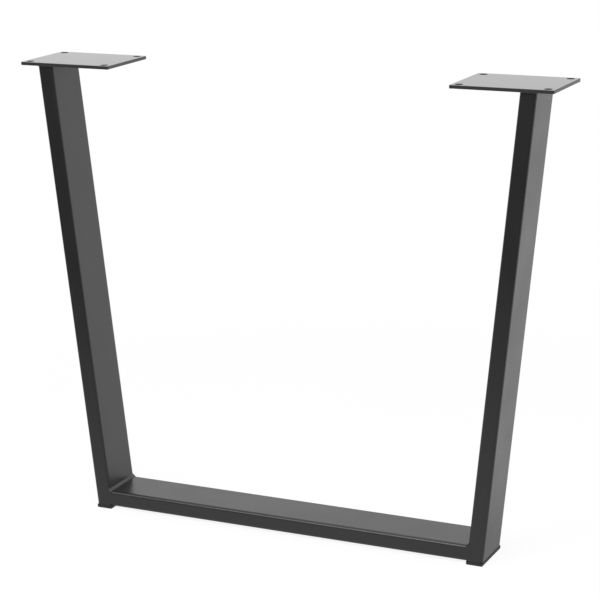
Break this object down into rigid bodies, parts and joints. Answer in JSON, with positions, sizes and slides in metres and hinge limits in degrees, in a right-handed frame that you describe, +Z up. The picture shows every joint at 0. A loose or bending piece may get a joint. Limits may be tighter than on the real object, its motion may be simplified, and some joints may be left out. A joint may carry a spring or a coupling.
{
  "type": "v-shaped table leg",
  "caption": "Flat-bottomed V-shaped table leg: leaning uprights and a low crossbar of welded rectangular steel tube, drilled screw plates on top, plastic end plugs as feet.",
  "frame": {"origin": "on the floor, below the middle of the two screw plates", "axes": "+X across the frame from the left upright to the right one as seen from the front, +Y through its depth to the back, +Z up"},
  "size_m": [0.8512, 0.12, 0.71],
  "materials": {
    "powder_coat": "satin black powder coat with a fine even grain, on mild steel",
    "black_plastic": "moulded black polyethylene, fine matt texture"
  },
  "bodies": {
    "root": {"left_upright": "powder_coat", "right_upright": "powder_coat", "crossbar": "powder_coat", "left_top_plate": "powder_coat", "right_top_plate": "powder_coat", "left_corner_weld": "powder_coat", "right_corner_weld": "powder_coat", "left_plate_weld": "powder_coat", "right_plate_weld": "powder_coat", "left_end_plug": "black_plastic", "right_end_plug": "black_plastic"}
  },
  "joints": []
}
